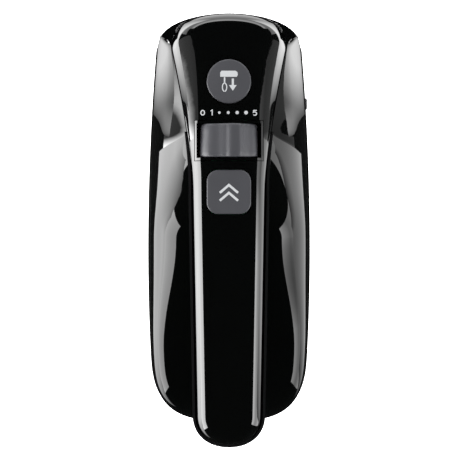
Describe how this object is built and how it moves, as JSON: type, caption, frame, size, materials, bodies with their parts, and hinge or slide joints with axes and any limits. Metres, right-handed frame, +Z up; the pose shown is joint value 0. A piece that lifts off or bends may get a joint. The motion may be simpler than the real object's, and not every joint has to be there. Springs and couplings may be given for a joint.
{
  "type": "electric hand mixer",
  "caption": "Glossy black electric hand mixer with an open-backed grip, thumb dial, boost and eject buttons and two wire-loop beaters.",
  "frame": {"origin": "middle of the grip, on the plane of symmetry", "axes": "+X the user's right, +Y forward to the nose, +Z up, away from the beaters"},
  "size_m": [0.0832, 0.2066, 0.2351],
  "materials": {
    "black_gloss": "high gloss",
    "black_satin": "satin",
    "button_grey": "fine matte",
    "dark_plastic": "moulded",
    "white_plastic": "moulded",
    "steel": "machined",
    "chrome": "polished",
    "copper": "enamelled winding",
    "bronze": "sintered",
    "carbon": "carbon",
    "board": "solder mask",
    "rubber": "matte"
  },
  "bodies": {
    "housing": {"top_cover": "black_gloss", "left_shell": "black_gloss", "right_shell": "black_gloss", "lower_housing": "black_gloss", "dial_bezel": "black_satin", "grip_liner": "black_satin", "left_socket_collar": "dark_plastic", "right_socket_collar": "dark_plastic", "chassis_plate": "dark_plastic", "speed_potentiometer": "dark_plastic", "turbo_switch": "dark_plastic", "gearbox_tray": "dark_plastic", "gearbox_lid": "dark_plastic", "rear_bracket": "dark_plastic", "suppressor": "white_plastic", "terminal_block": "white_plastic", "housing_screw_1": "steel", "housing_screw_2": "steel", "housing_screw_3": "steel", "housing_screw_4": "steel", "ejector_spring": "steel", "stator_core": "steel", "left_field_coil": "copper", "right_field_coil": "copper", "left_lower_bush": "bronze", "right_lower_bush": "bronze", "left_upper_bush": "bronze", "right_upper_bush": "bronze", "front_bearing": "bronze", "rear_bearing": "bronze", "left_brush_holder": "bronze", "right_brush_holder": "bronze", "left_brush": "carbon", "right_brush": "carbon", "control_board": "board", "cord_gland": "rubber"},
    "rotor": {"worm_shaft": "steel", "armature_core": "steel", "front_winding": "copper", "rear_winding": "copper", "commutator": "copper", "cooling_fan": "dark_plastic"},
    "left_spindle_drive": {"left_spindle": "steel", "left_worm_wheel": "white_plastic"},
    "right_spindle_drive": {"right_spindle": "steel", "right_worm_wheel": "white_plastic"},
    "left_pusher": {"left_push_rod": "steel"},
    "right_pusher": {"right_push_rod": "steel"},
    "left_beater": {"left_beater_shank": "chrome", "left_beater_loop_1": "chrome", "left_beater_loop_2": "chrome"},
    "right_beater": {"right_beater_shank": "chrome", "right_beater_loop_1": "chrome", "right_beater_loop_2": "chrome"},
    "ejector": {"eject_button": "button_grey", "ejector_yoke": "dark_plastic"},
    "turbo": {"turbo_button": "button_grey"},
    "dial": {"speed_dial": "button_grey"}
  },
  "joints": [
    {"name": "rotor_spin", "type": "hinge", "parent": "housing", "child": "rotor", "pos_m": [0, 0.1085, -0.07636], "axis": [0, 1, 0], "continuous": true},
    {"name": "left_spindle_spin", "type": "hinge", "parent": "housing", "child": "left_spindle_drive", "pos_m": [-0.02, 0.1085, -0.07636], "axis": [0, 0, 1], "continuous": true},
    {"name": "right_spindle_spin", "type": "hinge", "parent": "housing", "child": "right_spindle_drive", "pos_m": [0.02, 0.1085, -0.07636], "axis": [0, 0, 1], "continuous": true},
    {"name": "eject_press", "type": "slide", "parent": "housing", "child": "ejector", "axis": [0, 0, -1], "range_m": [0, 0.006], "stiffness_N_per_m": 1500, "springref_m": -0.002, "deforming": ["ejector_spring"]},
    {"name": "left_push", "type": "slide", "parent": "left_spindle_drive", "child": "left_pusher", "axis": [0, 0, -1], "range_m": [0, 0.006]},
    {"name": "right_push", "type": "slide", "parent": "right_spindle_drive", "child": "right_pusher", "axis": [0, 0, -1], "range_m": [0, 0.006]},
    {"name": "left_beater_release", "type": "slide", "parent": "left_pusher", "child": "left_beater", "axis": [0, 0, -1], "range_m": [0, 0.055]},
    {"name": "right_beater_release", "type": "slide", "parent": "right_pusher", "child": "right_beater", "axis": [0, 0, -1], "range_m": [0, 0.055]},
    {"name": "turbo_press", "type": "slide", "parent": "housing", "child": "turbo", "axis": [0, 0, -1], "range_m": [0, 0.0022], "stiffness_N_per_m": 1200, "springref_m": -0.001},
    {"name": "dial_turn", "type": "hinge", "parent": "housing", "child": "dial", "pos_m": [0, 0.0813, 0.00546], "axis": [0, 1, 0], "range_deg": [-68, 44]}
  ],
  "couplings": [
    {"joint": "left_spindle_spin", "follows": "rotor_spin", "ratio": 0.1},
    {"joint": "right_spindle_spin", "follows": "rotor_spin", "ratio": -0.1},
    {"joint": "left_push", "follows": "eject_press", "ratio": 1},
    {"joint": "right_push", "follows": "eject_press", "ratio": 1}
  ]
}
